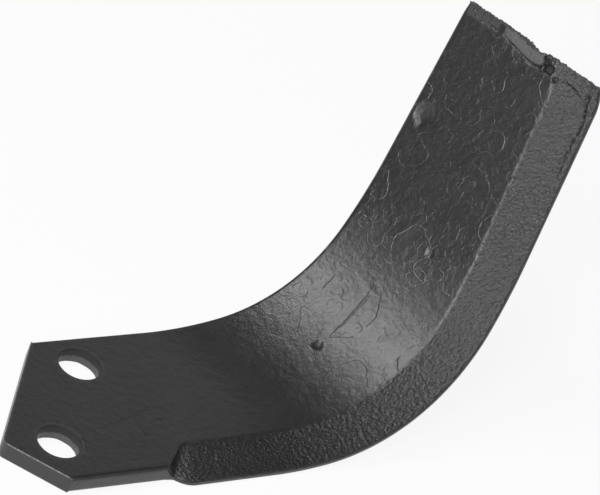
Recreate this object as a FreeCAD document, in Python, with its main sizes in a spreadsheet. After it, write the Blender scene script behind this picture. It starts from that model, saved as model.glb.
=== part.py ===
import FreeCAD, Part
import math
import os
import Sketcher
from FreeCAD import Placement, Rotation, Vector

# Rotary tiller blade, forged from one length of spring steel flat.
# The pointed shank is flat and carries two bolt holes. At the bend line the bar is
# rolled, on a skew, round a large radius into the wing, and it also sweeps sideways
# in its own plane. The leading edge is spread outwards and bevelled down to a land.
#
# Frame: the origin is midway between the bolt holes, on the concave face. +X runs
# along the shank to the wing, +Y to the back edge and +Z up the hole axes.

SIZES = {
    # the bar
    "bar_width": 70.0,
    "bar_thickness": 7.0,
    "bar_edge_round": 1.6,
    # bolt holes and pointed end, angles from a square-cut end
    "hole_diameter": 16.5,
    "hole_spacing": 46.0,
    "hole_line_angle": 36.0,
    "hole_line_shift": 2.5,
    "end_margin": 19.5,
    "clip_angle": 50.0,
    "clip_margin": 15.0,
    "point_round": 4.0,
    # roll of the wing: the bend line lies square to the direction of the roll
    "bend_line_distance": 56.5,
    "bend_skew": 18.0,
    "bend_radius": 108.5,
    "bend_angle": 65.0,
    # sideways sweep of the flat blank's two edges, measured on from the bend line
    "back_straight": 30.0,
    "back_sweep_radius": 140.0,
    "back_sweep_angle": 26.5,
    "back_length": 194.0,
    "lead_straight": 18.5,
    "lead_sweep_radius": 158.0,
    "lead_sweep_angle": 30.0,
    "lead_length": 200.0,
    # forged leading edge
    "edge_spread": 4.0,
    "spread_taper": 0.6,
    "spread_start": 27.5,
    "shoulder_angle": 45.0,
    "shoulder_round": 10.0,
    "shoulder_start": 23.0,
    "bevel_width_root": 15.0,
    "bevel_width_tip": 18.5,
    "edge_land": 2.2,
}
STATIONS = 26       # sections along each lofted tool
STANDOFF = 4.0      # how far a cutting tool stands clear of the bar, mm


def make_sheet(doc):
    sheet = doc.addObject("Spreadsheet::Sheet", "sizes")
    for row, (name, value) in enumerate(SIZES.items(), start=1):
        sheet.set("A%d" % row, name.replace("_", " "))
        sheet.set("B%d" % row, str(value))
        sheet.setAlias("B%d" % row, name)
    doc.recompute()
    return sheet


def add_sketch(body, name, role):
    plane = next(part for part in body.Origin.OriginFeatures if part.Role == role)
    sketch = body.newObject("Sketcher::SketchObject", name)
    sketch.AttachmentSupport = (plane, "")
    sketch.MapMode = "FlatFace"
    return sketch


def bind(sketch, name, expression, *constraint):
    """Add a constraint under a name and tie its value to the sheet."""
    index = sketch.addConstraint(Sketcher.Constraint(*constraint))
    sketch.renameConstraint(index, name)
    sketch.setExpression("Constraints." + name, expression)


def join(sketch, pairs):
    for first, first_end, second, second_end in pairs:
        sketch.addConstraint(Sketcher.Constraint("Coincident", first, first_end, second, second_end))


def crossing(normal_a, distance_a, normal_b, distance_b):
    """Point that lies on two lines, each given by a unit normal and its distance."""
    det = normal_a.x * normal_b.y - normal_a.y * normal_b.x
    x = (distance_a * normal_b.y - distance_b * normal_a.y) / det
    y = (normal_a.x * distance_b - normal_b.x * distance_a) / det
    return Vector(x, y, 0)


def heading(degrees):
    angle = math.radians(degrees)
    return Vector(math.cos(angle), math.sin(angle), 0)


def shank_corners(size):
    """Corners of the flat shank's outline, from its wall sizes and angles."""
    back_y = size["bar_width"] / 2 - size["hole_line_shift"]
    lead_y = -size["bar_width"] / 2 - size["hole_line_shift"]
    up = Vector(0, 1, 0)
    hole = heading(90 - size["hole_line_angle"]) * (size["hole_spacing"] / 2)
    end_normal = heading(180 - size["hole_line_angle"])
    clip_normal = heading(270 - size["clip_angle"])
    clip_distance = size["clip_margin"] - hole.dot(clip_normal)
    spread = Vector(size["spread_start"], lead_y, 0)
    slope = heading(-size["shoulder_angle"])
    level = heading(size["spread_taper"])
    round_drop = size["shoulder_round"] * (level.x - slope.x)
    ramp_end = spread + slope * ((size["edge_spread"] - round_drop) / -slope.y)
    centre = ramp_end + heading(90 - size["shoulder_angle"]) * size["shoulder_round"]
    spread_normal = heading(size["spread_taper"] - 90)
    ramp_foot = centre + spread_normal * size["shoulder_round"]
    bend_normal = heading(size["bend_skew"])
    return {
        "hole": hole,
        "back": crossing(end_normal, size["end_margin"], up, back_y),
        "point": crossing(end_normal, size["end_margin"], clip_normal, clip_distance),
        "lead": crossing(clip_normal, clip_distance, up, lead_y),
        "join_back": crossing(bend_normal, size["bend_line_distance"], up, back_y),
        "join_lead": crossing(bend_normal, size["bend_line_distance"],
                              spread_normal, ramp_foot.dot(spread_normal)),
        "spread": spread,
        "ramp_end": ramp_end,
        "round_centre": centre,
        "ramp_foot": ramp_foot,
    }


def shank(doc, size):
    """Flat shank: pointed end, bolt holes and the start of the spread edge."""
    body = doc.addObject("PartDesign::Body", "shank")
    sketch = add_sketch(body, "shank_outline", "XY_Plane")

    corner = shank_corners(size)
    round_arc = Part.ArcOfCircle(
        Part.Circle(corner["round_centre"], Vector(0, 0, 1), size["shoulder_round"]),
        math.radians(-90 - size["shoulder_angle"]),
        math.radians(-90 + size["spread_taper"]),
    )

    bend_line = sketch.addGeometry(Part.LineSegment(corner["join_lead"], corner["join_back"]))
    back_edge = sketch.addGeometry(Part.LineSegment(corner["join_back"], corner["back"]))
    end_edge = sketch.addGeometry(Part.LineSegment(corner["back"], corner["point"]))
    clip_edge = sketch.addGeometry(Part.LineSegment(corner["point"], corner["lead"]))
    lead_edge = sketch.addGeometry(Part.LineSegment(corner["lead"], corner["spread"]))
    ramp = sketch.addGeometry(Part.LineSegment(corner["spread"], corner["ramp_end"]))
    ramp_round = sketch.addGeometry(round_arc)
    spread_edge = sketch.addGeometry(
        Part.LineSegment(corner["ramp_foot"], corner["join_lead"]))
    hole_line = sketch.addGeometry(Part.LineSegment(-corner["hole"], corner["hole"]), True)
    radius = size["hole_diameter"] / 2
    low_hole = sketch.addGeometry(Part.Circle(-corner["hole"], Vector(0, 0, 1), radius))
    high_hole = sketch.addGeometry(Part.Circle(corner["hole"], Vector(0, 0, 1), radius))

    join(sketch, [
        (bend_line, 2, back_edge, 1),
        (back_edge, 2, end_edge, 1),
        (end_edge, 2, clip_edge, 1),
        (clip_edge, 2, lead_edge, 1),
        (lead_edge, 2, ramp, 1),
        (spread_edge, 2, bend_line, 1),
        (low_hole, 3, hole_line, 1),
        (high_hole, 3, hole_line, 2),
    ])
    sketch.addConstraint(Sketcher.Constraint("Horizontal", back_edge))
    sketch.addConstraint(Sketcher.Constraint("Horizontal", lead_edge))
    sketch.addConstraint(Sketcher.Constraint("Tangent", ramp, 2, ramp_round, 1))
    sketch.addConstraint(Sketcher.Constraint("Tangent", ramp_round, 2, spread_edge, 1))
    sketch.addConstraint(Sketcher.Constraint("Parallel", end_edge, hole_line))
    sketch.addConstraint(Sketcher.Constraint("Equal", low_hole, high_hole))
    sketch.addConstraint(Sketcher.Constraint("Symmetric", hole_line, 1, hole_line, 2, -1, 1))

    half = "sizes.bar_width / 2 "
    bind(sketch, "back", half + "- sizes.hole_line_shift",
         "DistanceY", -1, 1, back_edge, 1, corner["back"].y)
    bind(sketch, "lead", half + "+ sizes.hole_line_shift",
         "DistanceY", lead_edge, 1, -1, 1, -corner["lead"].y)
    bind(sketch, "spread", "sizes.edge_spread",
         "DistanceY", spread_edge, 1, lead_edge, 1, size["edge_spread"])
    bind(sketch, "spread_turn", "sizes.spread_taper",
         "Angle", spread_edge, math.radians(size["spread_taper"]))
    bind(sketch, "spread_from", "sizes.spread_start",
         "DistanceX", -1, 1, ramp, 1, size["spread_start"])
    bind(sketch, "ramp_turn", "-sizes.shoulder_angle",
         "Angle", ramp, math.radians(-size["shoulder_angle"]))
    bind(sketch, "ramp_radius", "sizes.shoulder_round",
         "Radius", ramp_round, size["shoulder_round"])
    bind(sketch, "hole_turn", "90 - sizes.hole_line_angle",
         "Angle", hole_line, math.radians(90 - size["hole_line_angle"]))
    bind(sketch, "hole_pitch", "sizes.hole_spacing",
         "Distance", hole_line, size["hole_spacing"])
    bind(sketch, "hole_bore", "sizes.hole_diameter",
         "Diameter", low_hole, size["hole_diameter"])
    bind(sketch, "end_wall", "sizes.end_margin",
         "Distance", -1, 1, end_edge, size["end_margin"])
    bind(sketch, "clip_turn", "-sizes.clip_angle",
         "Angle", clip_edge, math.radians(-size["clip_angle"]))
    bind(sketch, "clip_wall", "sizes.clip_margin",
         "Distance", hole_line, 1, clip_edge, size["clip_margin"])
    bind(sketch, "bend_turn", "90 + sizes.bend_skew",
         "Angle", bend_line, math.radians(90 + size["bend_skew"]))
    bind(sketch, "bend_from", "sizes.bend_line_distance",
         "Distance", -1, 1, bend_line, size["bend_line_distance"])

    pad = body.newObject("PartDesign::Pad", "shank_pad")
    pad.Profile = sketch
    pad.Reversed = True
    pad.setExpression("Length", "sizes.bar_thickness")
    doc.recompute()

    middle = Vector(0, 0, size["bar_thickness"] / 2)
    point_edge = "Edge%d" % nearest_edge(pad.Shape, corner["point"] - middle)
    fillet = body.newObject("PartDesign::Fillet", "point_fillet")
    fillet.Base = (pad, [point_edge])
    fillet.setExpression("Radius", "sizes.point_round")
    return body


def nearest_edge(shape, spot):
    """Number of the edge whose middle lies nearest to a spot."""
    gaps = [edge.CenterOfMass.distanceToPoint(spot) for edge in shape.Edges]
    return gaps.index(min(gaps)) + 1


def rolled_bar(doc, size):
    """The bar past the bend line, rolled round and over-long and over-wide."""
    body = doc.addObject("PartDesign::Body", "rolled_bar")
    sketch = add_sketch(body, "roll_profile", "XZ_Plane")
    radius = size["bend_radius"]
    thick = size["bar_thickness"]
    turn = math.radians(size["bend_angle"])
    along = Vector(math.cos(turn), math.sin(turn), 0)
    across = Vector(math.sin(turn), -math.cos(turn), 0)
    centre = Vector(0, radius, 0)
    inner_end = centre + across * radius
    far_inner = inner_end + along * size["lead_length"]
    far_outer = far_inner + across * thick
    outer_end = inner_end + across * thick
    normal = Vector(0, 0, 1)
    start_angle = math.radians(-90)
    end_angle = start_angle + turn

    inner = sketch.addGeometry(
        Part.ArcOfCircle(Part.Circle(centre, normal, radius), start_angle, end_angle))
    wing_inner = sketch.addGeometry(Part.LineSegment(inner_end, far_inner))
    wing_end = sketch.addGeometry(Part.LineSegment(far_inner, far_outer))
    wing_outer = sketch.addGeometry(Part.LineSegment(far_outer, outer_end))
    outer = sketch.addGeometry(
        Part.ArcOfCircle(Part.Circle(centre, normal, radius + thick), start_angle, end_angle))
    start = sketch.addGeometry(Part.LineSegment(Vector(0, -thick, 0), Vector(0, 0, 0)))

    join(sketch, [
        (inner, 1, -1, 1),
        (wing_inner, 2, wing_end, 1),
        (wing_end, 2, wing_outer, 1),
        (outer, 1, start, 1),
        (start, 2, inner, 1),
        (outer, 3, inner, 3),
    ])
    sketch.addConstraint(Sketcher.Constraint("PointOnObject", inner, 3, -2))
    sketch.addConstraint(Sketcher.Constraint("PointOnObject", outer, 1, -2))
    sketch.addConstraint(Sketcher.Constraint("Tangent", inner, 2, wing_inner, 1))
    sketch.addConstraint(Sketcher.Constraint("Tangent", wing_outer, 2, outer, 2))
    sketch.addConstraint(Sketcher.Constraint("Perpendicular", wing_inner, wing_end))
    bind(sketch, "inner_radius", "sizes.bend_radius", "Radius", inner, radius)
    bind(sketch, "wall", "sizes.bar_thickness", "Distance", start, thick)
    bind(sketch, "turn", "sizes.bend_angle", "Angle", wing_inner, turn)
    bind(sketch, "reach", "sizes.lead_length", "Distance", wing_inner, size["lead_length"])

    pad = body.newObject("PartDesign::Pad", "roll_pad")
    pad.Profile = sketch
    pad.Midplane = True
    pad.setExpression("Length", "4 * sizes.bar_width")
    body.Placement = Placement(Vector(), Rotation(Vector(0, 0, 1), size["bend_skew"]))
    body.setExpression("Placement.Base.x", "sizes.bend_line_distance * cos(sizes.bend_skew)")
    body.setExpression("Placement.Base.y", "sizes.bend_line_distance * sin(sizes.bend_skew)")
    body.setExpression("Placement.Rotation.Angle", "sizes.bend_skew")
    return body


def roll(size, flat, height):
    """Place on the rolled blade of a point of the flat blank, at a height on it."""
    toward = heading(size["bend_skew"])
    across = heading(90 + size["bend_skew"])
    radius = size["bend_radius"]
    turn = math.radians(size["bend_angle"])
    run = flat.dot(toward) - size["bend_line_distance"]
    angle = min(max(run / radius, 0.0), turn)
    before = min(run, 0.0)
    after = max(run - radius * turn, 0.0)
    reach = before + (radius - height) * math.sin(angle) + after * math.cos(angle)
    rise = radius - (radius - height) * math.cos(angle) + after * math.sin(angle)
    place = toward * (size["bend_line_distance"] + reach) + across * flat.dot(across)
    return place + Vector(0, 0, rise)


def swept_edge(size, side, distance):
    """Point and inward normal on one edge of the flat blank, past the bend line."""
    corner = shank_corners(size)
    straight = size[side + "_straight"]
    radius = size[side + "_sweep_radius"]
    sweep = math.radians(size[side + "_sweep_angle"])
    tilt = {"back": 0.0, "lead": size["spread_taper"]}[side]
    turned = min(max((distance - straight) / radius, 0.0), sweep)
    past = max(distance - straight - radius * sweep, 0.0)
    along = min(distance, straight) + radius * math.sin(turned) + past * math.cos(turned)
    aside = radius * (1 - math.cos(turned)) + past * math.sin(turned)
    spot = corner["join_" + side] + heading(tilt) * along + heading(90 + tilt) * aside
    return spot, heading(90 + tilt + math.degrees(turned))


def spread_out(first, last):
    return [first + (last - first) * step / STATIONS for step in range(STATIONS + 1)]


def loft(doc, name, rings):
    wires = [Part.makePolygon(ring + ring[:1]) for ring in rings]
    tool = doc.addObject("Part::Feature", name)
    tool.Shape = Part.makeLoft(wires, True, False)
    return tool


def wing_outline(doc, size):
    """The wing's swept outline and square tip, wrapped round the roll as a sleeve."""
    low = -size["bar_thickness"] - STANDOFF
    rings = []
    for share in spread_out(0.0, 1.0):
        back = swept_edge(size, "back", share * size["back_length"])[0]
        lead = swept_edge(size, "lead", share * size["lead_length"])[0]
        rings.append([
            roll(size, back, STANDOFF),
            roll(size, lead, STANDOFF),
            roll(size, lead, low),
            roll(size, back, low),
        ])
    return loft(doc, "wing_outline", rings)


def bevel_tool(doc, size):
    """What the bevel takes off: a wedge along the leading edge, above the land."""
    depth = size["bar_thickness"] - size["edge_land"]
    shank_run = shank_corners(size)["join_lead"].x - size["shoulder_start"] + STANDOFF
    rings = []
    for distance in spread_out(-shank_run, size["lead_length"] + STANDOFF):
        share = max(distance, 0.0) / size["lead_length"]
        width = size["bevel_width_root"] * (1 - share) + size["bevel_width_tip"] * share
        fall = depth / width
        edge, inward = swept_edge(size, "lead", distance)
        top = edge + inward * (width + STANDOFF / fall)
        out = edge - inward * STANDOFF
        rings.append([
            roll(size, top, STANDOFF),
            roll(size, out, -depth - STANDOFF * fall),
            roll(size, out, STANDOFF),
        ])
    return loft(doc, "bevel_wedge", rings)


def shoulder_tool(doc, size):
    """Block that keeps the bevel short of the shoulder, set on the slant."""
    reach = 4 * size["bar_width"]
    block = doc.addObject("Part::Box", "shoulder_block")
    for side in ("Length", "Width", "Height"):
        block.setExpression(side, "4 * sizes.bar_width")
    start = Vector(size["shoulder_start"], shank_corners(size)["lead"].y, 0)
    block.Placement = Placement(
        start - heading(size["shoulder_angle"]) * (reach / 2) - Vector(0, 0, reach / 2),
        Rotation(Vector(0, 0, 1), size["shoulder_angle"]),
    )
    return block


def bar_rounding(doc, size, blade):
    """Round the four long edges that the bar keeps from the mill."""
    corner = shank_corners(size)
    floor = Vector(0, 0, -size["bar_thickness"])
    shoulder = Vector(size["shoulder_start"], corner["lead"].y, 0)
    back = (corner["back"] + corner["join_back"]) / 2
    spots = [
        back,
        back + floor,
        (corner["lead"] + shoulder) / 2,
        (corner["lead"] + corner["spread"]) / 2 + floor,
    ]
    rounding = doc.addObject("Part::Fillet", "tiller_blade")
    rounding.Base = blade
    radius = size["bar_edge_round"]
    rounding.Edges = [(nearest_edge(blade.Shape, spot), radius, radius) for spot in spots]
    return rounding


def boolean(doc, kind, name, base, tool):
    result = doc.addObject("Part::" + kind, name)
    result.Base = base
    result.Tool = tool
    return result


def build():
    doc = FreeCAD.newDocument("tiller_blade")
    sheet = make_sheet(doc)
    size = {name: float(sheet.get(name)) for name in SIZES}

    shank_body = shank(doc, size)
    roll_body = rolled_bar(doc, size)
    wing = boolean(doc, "Common", "wing", roll_body, wing_outline(doc, size))
    blank = boolean(doc, "Fuse", "blank", shank_body, wing)
    bevel = boolean(doc, "Cut", "bevel", bevel_tool(doc, size), shoulder_tool(doc, size))
    forging = boolean(doc, "Cut", "forging", blank, bevel)
    doc.recompute()
    blade = bar_rounding(doc, size, forging)
    blade.Label = "tiller_blade"
    doc.recompute()

    for item in doc.Objects:
        if "Invalid" in item.State or "Error" in item.State:
            raise RuntimeError(item.Name + " failed to recompute")
    if blade.Shape.isNull() or not blade.Shape.isValid():
        raise RuntimeError("the blade is not a valid solid")
    return doc, blade


if __name__ == "__main__":
    document, part = build()
    os.makedirs("parts", exist_ok=True)
    part.Shape.exportStep("parts/%s.step" % part.Label)
    print(part.Label, "volume cm3", round(part.Shape.Volume / 1000, 2))
    print("solids", len(part.Shape.Solids), "faces", len(part.Shape.Faces))
    print("box", part.Shape.BoundBox)
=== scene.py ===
import bpy
import bmesh
import math
import numpy as np
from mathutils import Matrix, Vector, noise


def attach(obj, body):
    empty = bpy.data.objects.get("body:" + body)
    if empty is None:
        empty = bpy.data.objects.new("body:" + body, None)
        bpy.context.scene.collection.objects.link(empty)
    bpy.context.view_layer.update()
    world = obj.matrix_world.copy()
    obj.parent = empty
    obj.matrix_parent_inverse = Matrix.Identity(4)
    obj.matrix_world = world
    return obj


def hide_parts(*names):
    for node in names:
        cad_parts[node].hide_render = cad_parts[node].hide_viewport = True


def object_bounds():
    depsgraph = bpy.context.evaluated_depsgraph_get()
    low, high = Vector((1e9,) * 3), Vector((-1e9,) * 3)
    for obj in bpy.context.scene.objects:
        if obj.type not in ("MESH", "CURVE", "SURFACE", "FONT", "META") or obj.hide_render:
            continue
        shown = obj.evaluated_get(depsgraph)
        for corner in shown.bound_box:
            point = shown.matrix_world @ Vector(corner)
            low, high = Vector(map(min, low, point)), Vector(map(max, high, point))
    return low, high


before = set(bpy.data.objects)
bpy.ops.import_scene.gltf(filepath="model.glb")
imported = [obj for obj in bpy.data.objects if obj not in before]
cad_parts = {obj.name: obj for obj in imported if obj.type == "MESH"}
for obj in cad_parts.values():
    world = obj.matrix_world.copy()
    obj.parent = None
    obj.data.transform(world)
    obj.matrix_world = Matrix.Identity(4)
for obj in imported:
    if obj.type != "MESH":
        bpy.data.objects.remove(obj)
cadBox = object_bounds()
print("frame loaded")

# The blade is shaped in millimetres as a flat blank, then rolled and set in metres.
blank = {
    "barWidth": 70.0,
    "thickness": 7.0,
    "holeDiameter": 16.5,
    "holeSpacing": 46.0,
    "holeLineAngle": 36.0,
    "holeLineShift": 2.5,
    "endMargin": 19.5,
    "clipAngle": 50.0,
    "clipMargin": 15.0,
    "pointRound": 4.0,
    "bendLine": 56.5,
    "bendSkew": 18.0,
    "bendRadius": 108.5,
    "bendAngle": 65.0,
    "backStraight": 30.0,
    "backRadius": 140.0,
    "backSweep": 26.5,
    "backLength": 194.0,
    "leadStraight": 18.5,
    "leadRadius": 158.0,
    "leadSweep": 30.0,
    "leadLength": 200.0,
    "spread": 4.0,
    "spreadTaper": 0.6,
    "spreadStart": 27.5,
    "barCornerRound": 1.6,   # taken off the end's other two corners
    "shoulderAngle": 45.0,
    "shoulderRound": 10.0,
    "shoulderStart": 23.0,
    "bevelRoot": 15.0,
    "bevelTip": 18.5,
    "land": 2.2,
    "barEdgeRound": 1.6,     # mill-rounded long edges of the bar
    "forgedEdgeRound": 0.7,  # edge of the land
    "cutEdgeRound": 0.45,    # cropped shank end
    "tipEdgeRound": 0.3,
    "holeEdgeRound": 0.4,
    "shankRun": 112.0,
    "cell": 0.9,
    "tipCell": 0.45,
    "tipRun": 14.0,
    "fineTip": 9.0,          # depth of the torn tip's finer cells
    "cornerWear": 2.3,       # how far the tip's outer corner is worn back
    "cornerRun": 10.0,
    "cornerPower": 1.8,
    "shoulderCorner": 5.0,   # plan rounding where the shoulder meets the bevel's root
    "shoulderSlope": 1.9,    # fall of the shoulder's wall for each millimetre
    "rootSoft": 0.5,
    "footBlend": 0.6,
    "shearDepth": 3.4,       # where a punched hole's wall starts to break out
    "shearSpread": 1.1,
    "breakOut": 0.42,
    "smoothAngle": 50.0,
    "edgeColumns": [0.0, 0.12, 0.35, 0.7, 1.1, 1.6],  # columns of cells beside a long edge
    "wallLevels": [0.0, 0.25, 0.7, 1.6, 2.4, 2.9, 3.4, 3.9, 4.5, 5.4, 6.3, 6.75, 7.0],
}

# What the blade has picked up in the forge, the shears and use, on the flat blank.
marks = {
    "dents": [  # place, half sizes, depth, roughness of the bottom
        ((191.4, 65.2), (4.6, 3.5), 0.85, 0.30),
        ((188.0, 62.6), (2.2, 1.4), 0.25, 0.10),
        ((110.1, 6.0), (1.9, 1.6), 0.90, 0.30),
        ((111.9, 7.4), (0.9, 0.7), 0.60, 0.10),
        ((164.9, 18.1), (1.5, 1.3), 0.60, 0.35),
        ((138.6, 18.3), (1.3, 0.8), 0.20, 0.20),
        ((195.6, 52.9), (0.7, 0.6), 0.25, 0.05),
        ((224.1, 66.3), (0.7, 0.6), 0.25, 0.05),
        ((242.4, 49.9), (2.0, 2.3), 1.60, 0.20),
        ((242.1, 45.0), (1.2, 1.1), 0.55, 0.10),
        ((62.0, 4.0), (0.9, 0.7), 0.25, 0.10),
        ((48.0, 19.0), (0.8, 0.6), 0.20, 0.10),
        ((22.0, -20.0), (1.1, 0.8), 0.25, 0.10),
        ((31.0, -14.0), (1.4, 0.7), 0.15, 0.10),
        ((5.5, -2.0), (0.7, 0.5), 0.15, 0.05),
    ],
    "crumbs": [  # scale and slag stuck to the face: place, half sizes, height
        ((230.2, 87.1), (0.9, 0.8), 0.40),
        ((229.3, 84.5), (0.6, 0.8), 0.35),
        ((229.8, 81.1), (0.8, 0.6), 0.45),
        ((232.4, 76.4), (0.7, 1.7), 0.60),
        ((233.6, 75.0), (0.5, 0.5), 0.50),
        ((164.7, 18.6), (0.5, 0.4), 0.55),
        ((242.1, 45.0), (0.4, 0.4), 0.50),
        ((39.5, -30.5), (0.6, 0.5), 0.40),
    ],
    "lip": [(236.6, 73.4), (234.8, 71.9), (235.1, 68.1), (235.9, 65.5), (236.4, 62.2),
            (237.1, 59.1), (238.3, 55.6), (239.6, 53.4), (241.1, 52.5), (242.6, 52.8),
            (243.6, 54.6)],
    "lipHeight": 1.1,
    "lipRidge": [(235.4, 58.0), (237.0, 54.4), (239.0, 51.4), (241.4, 47.2)],
    "foldNearTip": [(244.7, 42.3), (245.8, 39.7), (246.1, 37.4), (245.9, 33.9)],
    "foldAlongEdge": [(249.2, 33.6), (246.8, 31.8), (245.1, 29.8), (243.1, 27.6), (238.7, 24.3),
                      (234.8, 22.8), (230.8, 20.8), (228.0, 19.1), (222.4, 15.5), (217.4, 11.2)],
    "rimFade": 205.0,        # where the pressed rim along the leading edge dies out
    "rimWidth": 3.4,
    "rimHeight": 0.30,
    "skin": [  # hammer marks on the bevel: size, seed, octaves, depth
        ((2.2, 1.7), 11.7, 2, 0.07),
        ((9, 6), 5.9, 1, 0.03),
    ],
    "tipStart": (230.1, 91.5),      # back corner of the tip
    "tipHeading": (0.383, -0.924),
    "rollOverLength": 19,    # along the tip, from the back corner
    "rollOverRun": 6.5,
    "rollOverDepth": 1.0,
    "notch": (34, 4.5, 1.5),  # place along the tip, half width, depth
}


def heading(degrees):
    angle = math.radians(degrees)
    return np.array([math.cos(angle), math.sin(angle)])


def crossing(normalA, distanceA, normalB, distanceB):
    return np.linalg.solve(np.array([normalA, normalB]), np.array([distanceA, distanceB]))


def blankCorners(b):
    leadY = -b["barWidth"] / 2 - b["holeLineShift"]
    backY = b["barWidth"] / 2 - b["holeLineShift"]
    hole = heading(90 - b["holeLineAngle"]) * b["holeSpacing"] / 2
    clipNormal = heading(270 - b["clipAngle"])
    slope = heading(-b["shoulderAngle"])
    outward = heading(b["spreadTaper"] - 90)
    drop = b["shoulderRound"] * (heading(b["spreadTaper"])[0] - slope[0])
    rampEnd = np.array([b["spreadStart"], leadY]) + slope * (b["spread"] - drop) / -slope[1]
    centre = rampEnd + heading(90 - b["shoulderAngle"]) * b["shoulderRound"]
    foot = centre + outward * b["shoulderRound"]
    bend = heading(b["bendSkew"])
    return {
        "leadY": leadY,
        "backY": backY,
        "hole": hole,
        "endNormal": heading(180 - b["holeLineAngle"]),
        "clipNormal": clipNormal,
        "clipDistance": b["clipMargin"] - hole @ clipNormal,
        "rampEnd": rampEnd,
        "rampCentre": centre,
        "foot": foot,
        "joinBack": crossing(bend, b["bendLine"], (0, 1), backY),
        "joinLead": crossing(bend, b["bendLine"], outward, foot @ outward),
    }


corners = blankCorners(blank)


# a point of one swept edge, this far past the bend line
def edgePoint(b, side, distance):
    tilt = b["spreadTaper"] if side == "lead" else 0.0
    start = corners["joinLead"] if side == "lead" else corners["joinBack"]
    straight = b[side + "Straight"]
    radius = b[side + "Radius"]
    sweep = math.radians(b[side + "Sweep"])
    turned = min(max((distance - straight) / radius, 0), sweep)
    past = max(distance - straight - radius * sweep, 0)
    along = min(distance, straight) + radius * math.sin(turned) + past * math.cos(turned)
    aside = radius * (1 - math.cos(turned)) + past * math.sin(turned)
    return start + heading(tilt) * along + heading(90 + tilt) * aside


# the leading edge on the flat shank: bar edge, ramp, round and spread edge
def leadEdgeY(b, x):
    if x <= b["spreadStart"]:
        return corners["leadY"]
    if x <= corners["rampEnd"][0]:
        slope = math.tan(math.radians(b["shoulderAngle"]))
        return corners["leadY"] - (x - b["spreadStart"]) * slope
    if x <= corners["foot"][0]:
        across = x - corners["rampCentre"][0]
        return corners["rampCentre"][1] - math.sqrt(b["shoulderRound"] ** 2 - across ** 2)
    return corners["foot"][1] + (x - corners["foot"][0]) * math.tan(math.radians(b["spreadTaper"]))


# leading and back point of each row of cells, from past the shank's point to the tip
def bladeRows(b):
    rows = []
    steps = int(b["shankRun"] / b["cell"])
    for run in np.linspace(b["shankRun"], 0, steps + 1)[:-1]:
        x = corners["joinLead"][0] - run
        rows.append((np.array([x, leadEdgeY(b, x)]), corners["joinBack"] - (run, 0), 0.0))
    coarse = b["leadLength"] - b["tipRun"]
    distances = np.concatenate([
        np.linspace(0, coarse, int(coarse / b["cell"]) + 1),
        np.linspace(coarse, b["leadLength"], int(b["tipRun"] / b["tipCell"]) + 1)[1:],
    ])
    for distance in distances:
        share = distance / b["leadLength"]
        back = edgePoint(b, "back", share * b["backLength"])
        lead = edgePoint(b, "lead", distance)
        worn = max(distance - b["leadLength"] + b["cornerRun"], 0) / b["cornerRun"]
        inward = (back - lead) / np.linalg.norm(back - lead)
        wornLead = lead + inward * b["cornerWear"] * worn ** b["cornerPower"]
        rows.append((wornLead, back, share))
    return rows


# where the columns lie, as shares of the bevel band and of the flat face
def bladeColumns(b):
    edge = b["edgeColumns"][-1]
    band = b["edgeColumns"] + list(np.arange(edge, b["bevelRoot"], b["cell"]))[1:]
    columns = [("band", place / b["bevelRoot"]) for place in band]
    face = b["barWidth"] + b["spread"] - b["bevelRoot"]
    cells = int((face - edge) / (b["cell"] * 1.1))
    inner = list(np.linspace(0, face - edge, cells + 1))
    inner += [face - place for place in b["edgeColumns"][::-1]][1:]
    return columns + [("face", place / face) for place in inner]


def tipCorners(b):
    return bladeRows(b)[-1][:2]


def readPlaces(obj):
    places = np.empty(len(obj.data.vertices) * 3)
    obj.data.vertices.foreach_get("co", places)
    return places.reshape(-1, 3)


def setPlaces(obj, places):
    obj.data.vertices.foreach_set("co", places.ravel())
    obj.data.update()


def bevelWidth(b, share):
    return b["bevelRoot"] + (b["bevelTip"] - b["bevelRoot"]) * share


def flatSheet(b):
    rows = bladeRows(b)
    columns = bladeColumns(b)
    bpy.ops.object.select_all(action="DESELECT")
    bpy.ops.mesh.primitive_grid_add(
        x_subdivisions=len(rows) - 1, y_subdivisions=len(columns) - 1, size=1)
    sheet = bpy.context.object
    sheet.name = "forged_blade"
    places = readPlaces(sheet)
    rowOf = np.rint((places[:, 0] + 0.5) * (len(rows) - 1)).astype(int)
    columnOf = np.rint((places[:, 1] + 0.5) * (len(columns) - 1)).astype(int)
    lead = np.array([row[0] for row in rows])
    back = np.array([row[1] for row in rows])
    width = np.array([bevelWidth(b, row[2]) for row in rows])
    bandShare = width / np.linalg.norm(back - lead, axis=1)
    onBand = np.array([part == "band" for part, share in columns])
    fraction = np.array([share for part, share in columns])
    split = bandShare[rowOf]
    along = np.where(onBand[columnOf], fraction[columnOf] * split,
                     split + fraction[columnOf] * (1 - split))
    places[:, :2] = lead[rowOf] + (back - lead)[rowOf] * along[:, None]
    setPlaces(sheet, places)
    return sheet


def cutSheet(sheet, point, normal, clear):
    bpy.ops.object.mode_set(mode="EDIT")
    bpy.ops.mesh.select_all(action="SELECT")
    bpy.ops.mesh.bisect(
        plane_co=(point[0], point[1], 0),
        plane_no=(normal[0], normal[1], 0),
        clear_outer=clear,
        threshold=0.001,
    )
    bpy.ops.object.mode_set(mode="OBJECT")


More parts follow.
